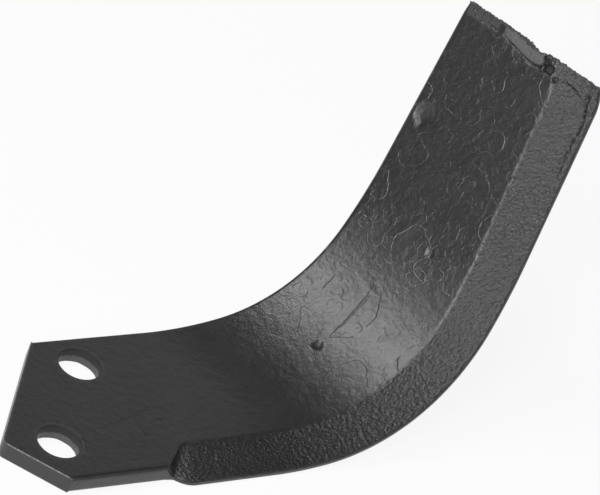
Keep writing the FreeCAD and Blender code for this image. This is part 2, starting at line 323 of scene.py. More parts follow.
def cropShank(b, sheet):
    endAt = corners["endNormal"] * b["endMargin"]
    clipAt = corners["clipNormal"] * corners["clipDistance"]
    cutSheet(sheet, endAt, corners["endNormal"], True)
    cutSheet(sheet, clipAt, corners["clipNormal"], True)
    # the point is rounded by short cuts that turn from the end edge to the clip edge
    inset = b["pointRound"]
    centre = crossing(corners["endNormal"], b["endMargin"] - inset,
                      corners["clipNormal"], corners["clipDistance"] - inset)
    turns = np.linspace(180 - b["holeLineAngle"], 270 - b["clipAngle"], 10)
    for turn in turns[1:-1]:
        cutSheet(sheet, centre + heading(turn) * inset, heading(turn), True)
    # the other two corners of the end are only taken off
    backCorner = crossing(corners["endNormal"], b["endMargin"], (0, 1), corners["backY"])
    leadCorner = crossing(
        corners["clipNormal"], corners["clipDistance"], (0, -1), -corners["leadY"])
    for corner, first, second in ((backCorner, corners["endNormal"], np.array([0, 1])),
                                  (leadCorner, corners["clipNormal"], np.array([0, -1]))):
        middle = (first + second) / np.linalg.norm(first + second)
        away = b["barCornerRound"] * (1 / (middle @ second) - 1)
        cutSheet(sheet, corner - middle * away, middle, True)
    for depth in (0.15, b["cutEdgeRound"]):
        cutSheet(sheet, endAt - corners["endNormal"] * depth, corners["endNormal"], False)
        cutSheet(sheet, clipAt - corners["clipNormal"] * depth, corners["clipNormal"], False)
    shoulder = np.array([b["shoulderStart"], corners["leadY"]])
    across = heading(b["shoulderAngle"] - 90)
    for depth in (0.0, 0.4, 1.0):
        cutSheet(sheet, shoulder + across * depth, across, False)


# the torn tip and the fold along the edge get cells half the size
def refineTip(b, m, sheet):
    outer, back = tipCorners(b)
    along = (outer - back) / np.linalg.norm(outer - back)
    inward = np.array([along[1], -along[0]])
    bpy.ops.object.mode_set(mode="EDIT")
    bpy.ops.mesh.select_mode(type="FACE")
    bpy.ops.mesh.select_all(action="DESELECT")
    mesh = bmesh.from_edit_mesh(sheet.data)
    middles = np.array([face.calc_center_median()[:2] for face in mesh.faces])
    foldGap = lineGap(middles, np.array(m["foldAlongEdge"]))[0]
    fine = ((middles - back) @ inward < b["fineTip"]) | (foldGap < 1.6)
    for face, chosen in zip(mesh.faces, fine):
        face.select_set(bool(chosen))
    bmesh.update_edit_mesh(sheet.data)
    bpy.ops.mesh.subdivide(number_cuts=1)
    bpy.ops.object.mode_set(mode="OBJECT")


# cells over a hole are deleted and the open loop is drawn in to the hole in rings
def openHoles(b, sheet):
    radius = b["holeDiameter"] / 2
    rings = [radius + 1.0, radius + 0.55, radius + 0.3, radius + 0.12, radius]
    for side in (-1, 1):
        centre = corners["hole"] * side
        bpy.ops.object.mode_set(mode="EDIT")
        bpy.ops.mesh.select_mode(type="FACE")
        bpy.ops.mesh.select_all(action="DESELECT")
        mesh = bmesh.from_edit_mesh(sheet.data)
        for face in mesh.faces:
            middle = face.calc_center_median()
            reach = math.hypot(middle.x - centre[0], middle.y - centre[1])
            face.select_set(reach < rings[0] + 0.3)
        bmesh.update_edit_mesh(sheet.data)
        bpy.ops.mesh.delete(type="FACE")
        bpy.ops.mesh.select_mode(type="VERT")
        mesh = bmesh.from_edit_mesh(sheet.data)
        for corner in mesh.verts:
            offset = np.array(corner.co[:2]) - centre
            reach = np.linalg.norm(offset)
            rim = corner.is_boundary and reach < rings[0] + 3
            corner.select_set(rim)
            if rim:
                corner.co[:2] = centre + offset / reach * rings[0]
        bmesh.update_edit_mesh(sheet.data)
        for inner, outer in zip(rings[1:], rings):
            shrink = inner / outer
            bpy.ops.mesh.extrude_edges_move()
            bpy.ops.transform.resize(
                value=(shrink, shrink, 1), center_override=(centre[0], centre[1], 0))
        bpy.ops.mesh.select_all(action="DESELECT")
        mesh = bmesh.from_edit_mesh(sheet.data)
        for corner in mesh.verts:
            reach = math.hypot(corner.co.x - centre[0], corner.co.y - centre[1])
            corner.select_set(rings[0] + 0.01 < reach < rings[0] + 3)
        bmesh.update_edit_mesh(sheet.data)
        bpy.ops.mesh.vertices_smooth(factor=0.5, repeat=6)
        bpy.ops.object.mode_set(mode="OBJECT")


def thicken(b, sheet):
    bpy.ops.object.mode_set(mode="EDIT")
    bpy.ops.mesh.select_mode(type="FACE")
    bpy.ops.mesh.select_all(action="SELECT")
    bpy.ops.mesh.extrude_region_move(TRANSFORM_OT_translate={"value": (0, 0, -b["thickness"])})
    bpy.ops.mesh.select_all(action="SELECT")
    bpy.ops.mesh.normals_make_consistent(inside=False)
    bpy.ops.mesh.select_mode(type="EDGE")
    bpy.ops.mesh.select_all(action="DESELECT")
    mesh = bmesh.from_edit_mesh(sheet.data)
    for edge in mesh.edges:
        edge.select_set(abs(edge.verts[0].co.z - edge.verts[1].co.z) > b["thickness"] / 2)
    bmesh.update_edit_mesh(sheet.data)
    bpy.ops.mesh.subdivide(number_cuts=len(b["wallLevels"]) - 2)
    bpy.ops.object.mode_set(mode="OBJECT")


# plan distance to an open line of points, and the unit vector from the line to each place
def lineGap(places, line):
    best = np.full(len(places), 1e9)
    away = np.zeros((len(places), 2))
    for start, end in zip(line[:-1], line[1:]):
        step = end - start
        share = np.clip(((places - start) @ step) / (step @ step), 0, 1)
        gap = places - start - share[:, None] * step
        reach = np.hypot(gap[:, 0], gap[:, 1])
        nearer = reach < best
        best[nearer] = reach[nearer]
        normal = np.array([-step[1], step[0]]) / np.linalg.norm(step)
        side = np.where(reach > 1e-3, 1.0, 0.0)[:, None]
        unit = np.where(side > 0, gap / np.maximum(reach, 1e-9)[:, None], normal)
        away[nearer] = unit[nearer]
    return best, away


def grain(places, size, seed, octaves=2):
    out = np.empty(len(places))
    for index, place in enumerate(places):
        spot = Vector((place[0] / size[0] + seed, place[1] / size[1] - seed, seed * 1.7))
        out[index] = noise.fractal(spot, 0.8, 2.1, octaves)
    return out


def rollBlank(b, flat):
    toward = heading(b["bendSkew"])
    across = heading(90 + b["bendSkew"])
    turn = math.radians(b["bendAngle"])
    run = flat[:, :2] @ toward - b["bendLine"]
    angle = np.clip(run / b["bendRadius"], 0, turn)
    before = np.minimum(run, 0)
    after = np.maximum(run - b["bendRadius"] * turn, 0)
    radius = b["bendRadius"] - flat[:, 2]
    reach = b["bendLine"] + before + radius * np.sin(angle) + after * np.cos(angle)
    rise = b["bendRadius"] - radius * np.cos(angle) + after * np.sin(angle)
    ground = reach[:, None] * toward + (flat[:, :2] @ across)[:, None] * across
    return np.column_stack([ground, rise])


# depth that the hammered bevel lies below the flat face
def bevelDepth(b, plan, leadGap, share):
    width = bevelWidth(b, share)
    drop = b["thickness"] - b["land"]
    inside = width - leadGap
    shoulder = (plan - (b["shoulderStart"], corners["leadY"])) @ heading(b["shoulderAngle"] - 90)
    cornerRound = b["shoulderCorner"]
    rounded = cornerRound - np.hypot(np.maximum(cornerRound - shoulder, 0),
                                     np.maximum(cornerRound - inside, 0))
    region = np.where((shoulder < cornerRound) & (inside < cornerRound), rounded,
                      np.minimum(shoulder, inside))
    wall = b["shoulderSlope"] * region
    ramp = drop / width * (inside + np.sqrt(inside ** 2 + b["rootSoft"] ** 2)) / 2
    blend = b["footBlend"]
    close = np.clip(0.5 + 0.5 * (wall - ramp) / blend, 0, 1)
    depth = wall * (1 - close) + ramp * close - blend * close * (1 - close)
    return np.where(region > 0, np.clip(depth, 0, drop), 0)


def smoothStep(value):
    value = np.clip(value, 0, 1)
    return value * value * (3 - 2 * value)


def insideLoop(places, loop):
    inside = np.zeros(len(places), bool)
    for start, end in zip(loop, loop[1:] + loop[:1]):
        spans = (start[1] > places[:, 1]) != (end[1] > places[:, 1])
        rise = end[1] - start[1]
        share = (places[:, 1] - start[1]) / (rise if rise else 1e-9)
        inside ^= spans & (places[:, 0] < share * (end[0] - start[0]) + start[0])
    return inside


def pressDents(m, plan, rough, face):
    for place, size, depth, bottom in m["dents"]:
        gap = np.hypot((plan[:, 0] - place[0]) / size[0], (plan[:, 1] - place[1]) / size[1])
        gap *= 1 + 0.25 * rough
        hollow = smoothStep((1.15 - gap) / 0.55)
        face["lower"] += hollow * (depth + bottom * rough)
        face["lower"] -= 0.12 * depth * np.exp(-((gap - 1.25) / 0.2) ** 2)
        # deep dents get painted shade in their hollows
        face["paintedShade"] = np.maximum(face["paintedShade"], hollow * smoothStep(depth / 0.6 - 1))


# returns where the crumbs are, because they stay light inside the painted shade of a hollow
def stickCrumbs(m, plan, rough, face):
    crumbs = np.zeros(len(plan))
    for place, size, height in m["crumbs"]:
        gap = np.hypot((plan[:, 0] - place[0]) / size[0], (plan[:, 1] - place[1]) / size[1])
        lump = smoothStep((1.1 - gap) / 0.7)
        crumbs = np.maximum(crumbs, lump)
        face["lower"] -= lump * height * (1 + 0.3 * rough)
        face["torn"] = np.maximum(face["torn"], 0.4 * lump)
    return crumbs


def tearTip(m, plan, tipGap, rough, face):
    # the shears rolled the face over towards the tip, beside the back edge
    tipHeading = np.array(m["tipHeading"])
    alongTip = plan @ tipHeading - np.array(m["tipStart"]) @ tipHeading
    beside = smoothStep((m["rollOverLength"] - alongTip) / 3)
    rollOver = smoothStep(1 - tipGap / m["rollOverRun"]) ** 1.4
    face["lower"] += m["rollOverDepth"] * beside * rollOver * (1 + 0.08 * rough)
    # the rolled-over dip beside the back edge gets painted shade
    face["paintedShade"] = np.maximum(face["paintedShade"], 0.75 * beside * smoothStep((5.5 - tipGap) / 2))
    # a lip of metal is folded over the face in the middle of the tip
    lipLoop = m["lip"] + [(250.0, 56.0), (243.0, 75.0)]
    lipGap = lineGap(plan, np.array(m["lip"]))[0]
    signed = np.where(insideLoop(plan, lipLoop), lipGap, -lipGap)
    lip = smoothStep((signed + 0.15) / 0.5)
    fadeEnds = smoothStep((alongTip - 16.5) / 9)
    crown = 0.75 + 0.25 * smoothStep(signed / 1.5)
    face["lower"] -= lip * fadeEnds * m["lipHeight"] * crown * (1 + 0.12 * rough)
    besideLip = np.exp(np.minimum(signed, 0) / 0.9) * (1 - lip)
    face["lower"] += 0.45 * besideLip * smoothStep((alongTip - 19) / 4)
    face["torn"] = np.maximum(face["torn"], lip)
    ridgeGap = lineGap(plan, np.array(m["lipRidge"]))[0]
    face["lower"] -= 0.14 * np.exp(-(ridgeGap / 0.45) ** 2)


# folds pressed in the bevel beside the tip, and the rim between one of them and the edge
def pressFolds(m, plan, leadGap, tipGap, onBevel, face):
    foldGap = lineGap(plan, np.array(m["foldNearTip"]))[0]
    face["lower"] += 0.5 * np.exp(-(foldGap / 0.28) ** 2)
    pastFold = smoothStep((248 - 0.45 * (44 - plan[:, 1]) - plan[:, 0]) / -2.0) * onBevel
    wrinkle = grain(plan, (0.8, 2.0), 17.3, 2)
    face["lower"] += 0.28 * pastFold * smoothStep(1 - tipGap / 8) * wrinkle
    edgeFold = lineGap(plan, np.array(m["foldAlongEdge"]))[0]
    foldFade = smoothStep((plan[:, 0] - m["rimFade"]) / 30)
    crease = 0.55 * np.exp(-(edgeFold / 0.32) ** 2) + 0.2 * np.exp(-(edgeFold / 0.9) ** 2)
    face["lower"] += crease * foldFade
    rim = smoothStep((plan[:, 0] - m["rimFade"]) / 25) * onBevel
    rim *= smoothStep((m["rimWidth"] - leadGap) / 0.8)
    face["lower"] -= m["rimHeight"] * rim * smoothStep((leadGap + 1) / 2)


# how far the concave face lies below true at each place, how torn it is there, and where painted
# shade goes
def faceMarks(m, plan, leadGap, tipGap, onBevel):
    face = {key: np.zeros(len(plan)) for key in ("lower", "torn", "paintedShade")}
    rough = grain(plan, (1.1, 1.1), 3.1, 3)
    face["lower"] += 0.05 * grain(plan, (24, 17), 7.3, 2)
    face["lower"] += onBevel * sum(
        depth * grain(plan, size, seed, octaves) for size, seed, octaves, depth in m["skin"])
    pressDents(m, plan, rough, face)
    crumbs = stickCrumbs(m, plan, rough, face)
    tearTip(m, plan, tipGap, rough, face)
    pressFolds(m, plan, leadGap, tipGap, onBevel, face)
    return face["lower"], face["torn"], face["paintedShade"] * (1 - crumbs)


# share of the way along the blade, from the nearest row of cells
def alongBlade(plan, middle, shares):
    share = np.zeros(len(plan))
    for chunk in np.array_split(np.arange(len(plan)), 40):
        gaps = ((plan[chunk, None, :] - middle[None, :, :]) ** 2).sum(axis=2)
        share[chunk] = shares[gaps.argmin(axis=1)]
    return share


# each edge has a name, the gap to it in plan, the way in from it and its rounding
def bladeEdges(b, plan, lead, back, tip):
    everywhere = np.ones(len(plan))
    spreadShare = np.clip((plan[:, 0] - b["spreadStart"] + 4) / 4, 0, 1)
    leadRadius = b["barEdgeRound"] + (b["forgedEdgeRound"] - b["barEdgeRound"]) * spreadShare
    edges = [
        ("lead", *lead, leadRadius),
        ("back", *back, b["barEdgeRound"] * everywhere),
    ]
    for name, normal, distance in (("end", corners["endNormal"], b["endMargin"]),
                                   ("clip", corners["clipNormal"], corners["clipDistance"])):
        edges.append((name, distance - plan @ normal, -normal * everywhere[:, None],
                      b["cutEdgeRound"] * everywhere))
    edges.append(("tip", tip[0], tip[1] * everywhere[:, None], b["tipEdgeRound"] * everywhere))
    for sign in (-1, 1):
        offset = plan - corners["hole"] * sign
        reach = np.hypot(offset[:, 0], offset[:, 1])
        edges.append(("hole", reach - b["holeDiameter"] / 2, offset / reach[:, None],
                      b["holeEdgeRound"] * everywhere))
    return edges


# a punched wall is smooth where it sheared and wider where it broke out, with a burr between
def punchedWall(b, away, fall, wall):
    turned = np.arctan2(away[:, 1], away[:, 0]) * b["holeDiameter"] / 2
    jagged = grain(np.column_stack([turned, fall * 0.2]), (3.0, 3.0), 51.7, 3)
    shear = b["shearDepth"] + b["shearSpread"] * jagged
    broken = smoothStep((fall - shear) / 0.5) * wall
    burr = np.exp(-((fall - shear) / 0.3) ** 2) * wall * (jagged > -0.25)
    return broken, broken * (b["breakOut"] + 0.25 * jagged), burr


# how far the sheared end face is torn back, ragged and notched
def tornBack(m, plan, fall, back, alongTip, tipGap):
    ragged = grain(np.column_stack([plan @ alongTip, fall * 2.5]), (1.0, 1.6), 23.9, 3)
    broad = grain(np.column_stack([plan @ alongTip, fall]), (5.0, 8.0), 31.1, 1)
    place, halfWidth, depth = m["notch"]
    notch = depth * np.exp(-(((plan - back) @ alongTip - place) / halfWidth) ** 2)
    push = (0.45 + 0.75 * ragged + 0.5 * broad + notch) * smoothStep(1 - tipGap / 4.5)
    return np.clip(push, 0, 3)


def shapeBlade(b, m, sheet):
    flat = readPlaces(sheet)
    plan = flat[:, :2].copy()
    levels = np.array(b["wallLevels"])
    step = np.rint(-flat[:, 2] / b["thickness"] * (len(levels) - 1)).astype(int)
    rows = bladeRows(b)
    leadLine = np.array([row[0] for row in rows])
    backLine = np.array([row[1] for row in rows])
    shares = np.array([row[2] for row in rows])
    leadGap, leadAway = lineGap(plan, leadLine)
    share = alongBlade(plan, (leadLine + backLine) / 2, shares)
    outer, back = tipCorners(b)
    alongTip = (outer - back) / np.linalg.norm(outer - back)
    tipInward = np.array([alongTip[1], -alongTip[0]])
    tipGap = (plan - back) @ tipInward

    sunk = bevelDepth(b, plan, leadGap, share)
    onBevel = smoothStep(sunk / 0.35)
    lower, torn, paintedShade = faceMarks(m, plan, leadGap, tipGap, onBevel)
    sunk = sunk + lower
    height = b["thickness"] - sunk
    fall = levels[step] / b["thickness"] * height
    rise = height - fall
    isTop = step == 0
    isBottom = step == len(levels) - 1

    shift = np.zeros((len(flat), 2))
    dropTop = np.zeros(len(flat))
    dropBottom = np.zeros(len(flat))
    newFall = fall.copy()
    wear = np.zeros(len(flat))
    paintedHoleShade = np.zeros(len(flat))
    edges = bladeEdges(b, plan, (leadGap, leadAway), lineGap(plan, backLine[::-1]),
                       (tipGap, tipInward))
    for name, gap, away, radius in edges:
        radius = np.minimum(radius, 0.45 * height)
        near = (gap < radius) & (gap > -0.02)
        wall = near & (gap < 0.02)
        # face rows roll over into the wall, wall rows roll into the face
        angle = np.where(wall, np.radians(45), np.radians(45) * (gap + radius) / radius)
        inset = radius * (1 - np.cos(angle))
        sink = radius * (1 - np.sin(angle))
        onFace = (isTop | isBottom) & near
        shift[onFace] += ((inset - gap)[:, None] * away)[onFace]
        dropTop[onFace & isTop] = np.maximum(dropTop, sink)[onFace & isTop]
        dropBottom[onFace & isBottom] = np.maximum(dropBottom, sink)[onFace & isBottom]
        side = wall & ~isTop & ~isBottom
        for reach, fromTop in ((fall, True), (rise, False)):
            rolling = side & (reach < radius)
            turn = np.radians(45) * (radius - reach) / radius
            sideInset = radius * (1 - np.cos(turn))
            sideSink = radius * (1 - np.sin(turn))
            shift[rolling] += (sideInset[:, None] * away)[rolling]
            newFall[rolling] = np.where(fromTop, sideSink, height - sideSink)[rolling]
        if name in ("end", "clip", "hole"):
            close = np.exp(-(gap / 0.4) ** 2) * (isTop | isBottom | (fall < 0.5))
            wear = np.maximum(wear, close)
        if name == "hole":
            broken, outward, burr = punchedWall(b, away, fall, wall)
            shift += outward[:, None] * away
            # the sheared part of a hole's wall gets painted shade
            paintedHoleShade = np.maximum(paintedHoleShade, wall * (1 - broken))
            torn = np.maximum(torn, 0.8 * broken)
            wear = np.maximum(wear, burr)
        if name == "tip":
            push = tornBack(m, plan, fall, back, alongTip, tipGap)
            shift += push[:, None] * tipInward
            torn = np.maximum(torn, wall)

    # the hidden underside is only a little uneven
    under = grain(plan, (15, 11), 41.3, 3)
    bottomLift = np.clip(0.05 + 0.06 * under, 0, 0.2)
    flat[:, :2] = plan + shift
    flat[:, 2] = -sunk - newFall
    flat[isTop, 2] = (-sunk - dropTop)[isTop]
    flat[isBottom, 2] = (-b["thickness"] + dropBottom + bottomLift)[isBottom]
    layer = sheet.data.attributes.new("blankPlace", "FLOAT_VECTOR", "POINT")
    layer.data.foreach_set("vector", flat.ravel())
    concave = isTop * 1.0
    # the last layer holds painted shade: sheared hole walls, deep dents and the dip by the tip
    for name, values in (("bevelSkin", onBevel * concave), ("wornEdge", wear),
                         ("tornMetal", torn), ("concaveFace", concave),
                         ("paintedShadePocket", np.maximum(paintedHoleShade, paintedShade * concave))):
        layer = sheet.data.attributes.new(name, "FLOAT", "POINT")
        layer.data.foreach_set("value", np.clip(values, 0, 1))
    low, high = np.array(cadBox[0]), np.array(cadBox[1])
    setPlaces(sheet, np.clip(rollBlank(b, flat) * 0.001, low, high))


def bladePiece(b, m):
    sheet = flatSheet(b)
    cropShank(b, sheet)
    refineTip(b, m, sheet)
    openHoles(b, sheet)
    thicken(b, sheet)
    shapeBlade(b, m, sheet)
    bpy.ops.object.select_all(action="DESELECT")
    sheet.select_set(True)
    bpy.context.view_layer.objects.active = sheet
    bpy.ops.object.shade_smooth_by_angle(angle=math.radians(b["smoothAngle"]))
    return sheet


blade = bladePiece(blank, marks)
print("blade shaped", len(blade.data.vertices), len(blade.data.polygons))


paint = {
    "colour": (0.0085, 0.0085, 0.0095, 1),
    "warm": (0.0130, 0.0115, 0.0092, 1),
    "dusty": (0.0150, 0.0150, 0.0158, 1),
    "wornColour": (0.12, 0.12, 0.115, 1),
    "tornColour": (0.10, 0.10, 0.101, 1),
    # painted shade for the sheared hole walls and the shaded hollows of the face
    "paintedShadeColour": (0.006, 0.006, 0.006, 1),
    "index": 1.7,            # refractive index of the paint
    "roughness": 0.31,
    "roughnessSpread": 0.12,
    "peelSize": 0.85,        # grain of the hammered bevel, in millimetres
    "peelHeight": 0.52,
    "grainSize": 0.45,
    "grainHeight": 0.07,
    "curlSize": 17.0,
    "curlHeight": 0.07,
    "curlShare": 0.06,       # how far the worn colour shows in each kind of mark
    "scratchShare": 0.30,
    "scratchDepth": 0.16,
    "wornShare": 0.9,
    "tornShare": 0.75,
    "tornHeight": 0.55,
    "waveHeight": 0.25,
    "scratches": [  # start, end and width on the flat blank
        ((185.4, 62.2), (184.3, 38.6), 0.16),
        ((184.3, 38.6), (183.2, 15.3), 0.12),
        ((136.2, 16.3), (124.5, 11.2), 0.30),
        ((124.5, 11.2), (115.9, 7.7), 0.22),
        ((137.3, 15.7), (121.2, 9.0), 0.16),
        ((140.7, 13.7), (138.8, 10.9), 0.18),
        ((138.8, 10.9), (134.9, 6.4), 0.22),
        ((134.9, 6.4), (130.0, 4.8), 0.16),
        ((128.4, 29.7), (122.5, 27.5), 0.22),
        ((116.0, 7.2), (123.5, 3.1), 0.16),
        ((38.6, -7.1), (32.5, -7.1), 0.30),
        ((32.5, -7.1), (25.7, -8.6), 0.30),
        ((25.7, -8.6), (15.3, -12.0), 0.24),
        ((15.3, -12.0), (3.2, -15.1), 0.16),
    ],
}


def newGroup(name, inputs, outputs):
    tree = bpy.data.node_groups.new(name, "ShaderNodeTree")
    for label, kind, value in inputs:
        socket = tree.interface.new_socket(name=label, in_out="INPUT", socket_type=kind)
        if value is not None:
            socket.default_value = value
    for label, kind in outputs:
        tree.interface.new_socket(name=label, in_out="OUTPUT", socket_type=kind)
    return tree, tree.nodes.new("NodeGroupInput"), tree.nodes.new("NodeGroupOutput")


def plug(tree, target, value):
    if isinstance(value, bpy.types.NodeSocket):
        tree.links.new(value, target)
    else:
        target.default_value = value


def mathNode(tree, operation, first, second=0.0, third=None, clamp=False):
    node = tree.nodes.new("ShaderNodeMath")
    node.operation = operation
    node.use_clamp = clamp
    plug(tree, node.inputs[0], first)
    plug(tree, node.inputs[1], second)
    if third is not None:
        plug(tree, node.inputs[2], third)
    return node.outputs[0]


def vectorNode(tree, operation, first, second=None, scale=None):
    node = tree.nodes.new("ShaderNodeVectorMath")
    node.operation = operation
    plug(tree, node.inputs[0], first)
    if second is not None:
        plug(tree, node.inputs[1], second)
    if scale is not None:
        plug(tree, node.inputs["Scale"], scale)
    return node.outputs["Value" if operation in ("LENGTH", "DOT_PRODUCT") else "Vector"]


def noiseNode(tree, place, scale, detail, roughness=0.5):
    node = tree.nodes.new("ShaderNodeTexNoise")
    plug(tree, node.inputs["Vector"], place)
    plug(tree, node.inputs["Scale"], scale)
    node.inputs["Detail"].default_value = detail
    node.inputs["Roughness"].default_value = roughness
    return node.outputs["Fac"]


def rampNode(tree, value, low, high):
    node = tree.nodes.new("ShaderNodeMapRange")
    node.interpolation_type = "SMOOTHSTEP"
    plug(tree, node.inputs["Value"], value)
    node.inputs["From Min"].default_value = low
    node.inputs["From Max"].default_value = high
    return node.outputs["Result"]


def mixColours(tree, share, first, second):
    node = tree.nodes.new("ShaderNodeMix")
    node.data_type = "RGBA"
    plug(tree, node.inputs["Factor"], share)
    plug(tree, node.inputs["A"], first)
    plug(tree, node.inputs["B"], second)
    return node.outputs["Result"]


def readLayer(tree, name, output="Fac"):
    node = tree.nodes.new("ShaderNodeAttribute")
    node.attribute_name = name
    return node.outputs[output]


# lumps left by the hammer and the thick paint over them
def hammeredSkin():
    tree, given, result = newGroup("hammeredSkin", [
        ("Place", "NodeSocketVector", None),
        ("Size", "NodeSocketFloat", 1.2),
    ], [("Height", "NodeSocketFloat")])
    scale = mathNode(tree, "DIVIDE", 1.0, given.outputs["Size"])
    stretched = vectorNode(tree, "MULTIPLY", given.outputs["Place"], (0.72, 1.0, 1.0))
    lumps = noiseNode(tree, stretched, scale, 3.0, 0.6)
    cells = tree.nodes.new("ShaderNodeTexVoronoi")
    cells.feature = "SMOOTH_F1"
    plug(tree, cells.inputs["Vector"], stretched)
    plug(tree, cells.inputs["Scale"], mathNode(tree, "MULTIPLY", scale, 0.8))
    both = mathNode(tree, "ADD", lumps, mathNode(tree, "MULTIPLY", cells.outputs["Distance"], 0.6))
    plug(tree, result.inputs["Height"], both)
    return tree


# thin curled lines that a brush and swarf leave in the paint
def brushCurls():
    tree, given, result = newGroup("brushCurls", [
        ("Place", "NodeSocketVector", None),
        ("Size", "NodeSocketFloat", 12.0),
        ("Width", "NodeSocketFloat", 0.02),
        ("Radius", "NodeSocketFloat", 0.4),
    ], [("Mask", "NodeSocketFloat")])
    wander = tree.nodes.new("ShaderNodeTexNoise")
    plug(tree, wander.inputs["Vector"], given.outputs["Place"])
    plug(tree, wander.inputs["Scale"], mathNode(tree, "DIVIDE", 1.6, given.outputs["Size"]))
    wander.inputs["Detail"].default_value = 2.0
    swing = mathNode(tree, "MULTIPLY", given.outputs["Size"], 0.55)
    bent = vectorNode(tree, "ADD", given.outputs["Place"], vectorNode(
        tree, "SCALE", wander.outputs["Color"], None, swing))
    cells = tree.nodes.new("ShaderNodeTexVoronoi")
    plug(tree, cells.inputs["Vector"], bent)
    plug(tree, cells.inputs["Scale"], mathNode(tree, "DIVIDE", 1.0, given.outputs["Size"]))
    away = mathNode(tree, "ABSOLUTE", mathNode(
        tree, "SUBTRACT", cells.outputs["Distance"], given.outputs["Radius"]))
    line = mathNode(tree, "SUBTRACT", 1.0, mathNode(
        tree, "DIVIDE", away, given.outputs["Width"]), clamp=True)
    shown = rampNode(tree, noiseNode(tree, given.outputs["Place"], mathNode(
        tree, "DIVIDE", 1.5, given.outputs["Size"]), 1.0), 0.46, 0.56)
    plug(tree, result.inputs["Mask"], mathNode(tree, "MULTIPLY", line, shown))
    return tree


# a straight scratch between two places, frayed by fine noise
def hairScratch():
    tree, given, result = newGroup("hairScratch", [
        ("Place", "NodeSocketVector", None),
        ("From", "NodeSocketVector", None),
        ("To", "NodeSocketVector", None),
        ("Width", "NodeSocketFloat", 0.2),
        ("Fray", "NodeSocketFloat", 0.5),
    ], [("Mask", "NodeSocketFloat")])
    reach = vectorNode(tree, "SUBTRACT", given.outputs["To"], given.outputs["From"])
    offset = vectorNode(tree, "SUBTRACT", given.outputs["Place"], given.outputs["From"])
    share = mathNode(tree, "DIVIDE", vectorNode(tree, "DOT_PRODUCT", offset, reach),
                     vectorNode(tree, "DOT_PRODUCT", reach, reach), clamp=True)
    gap = vectorNode(tree, "LENGTH", vectorNode(
        tree, "SUBTRACT", offset, vectorNode(tree, "SCALE", reach, None, share)))
    frayed = mathNode(tree, "ADD", gap, mathNode(
        tree, "MULTIPLY_ADD", given.outputs["Fray"], 0.7, -0.35))
    line = mathNode(tree, "SUBTRACT", 1.0, mathNode(
        tree, "DIVIDE", frayed, given.outputs["Width"]), clamp=True)
    plug(tree, result.inputs["Mask"], line)
    return tree


def useGroup(tree, group, values):
    node = tree.nodes.new("ShaderNodeGroup")
    node.node_tree = group
    for label, value in values.items():
        plug(tree, node.inputs[label], value)
    return node.outputs


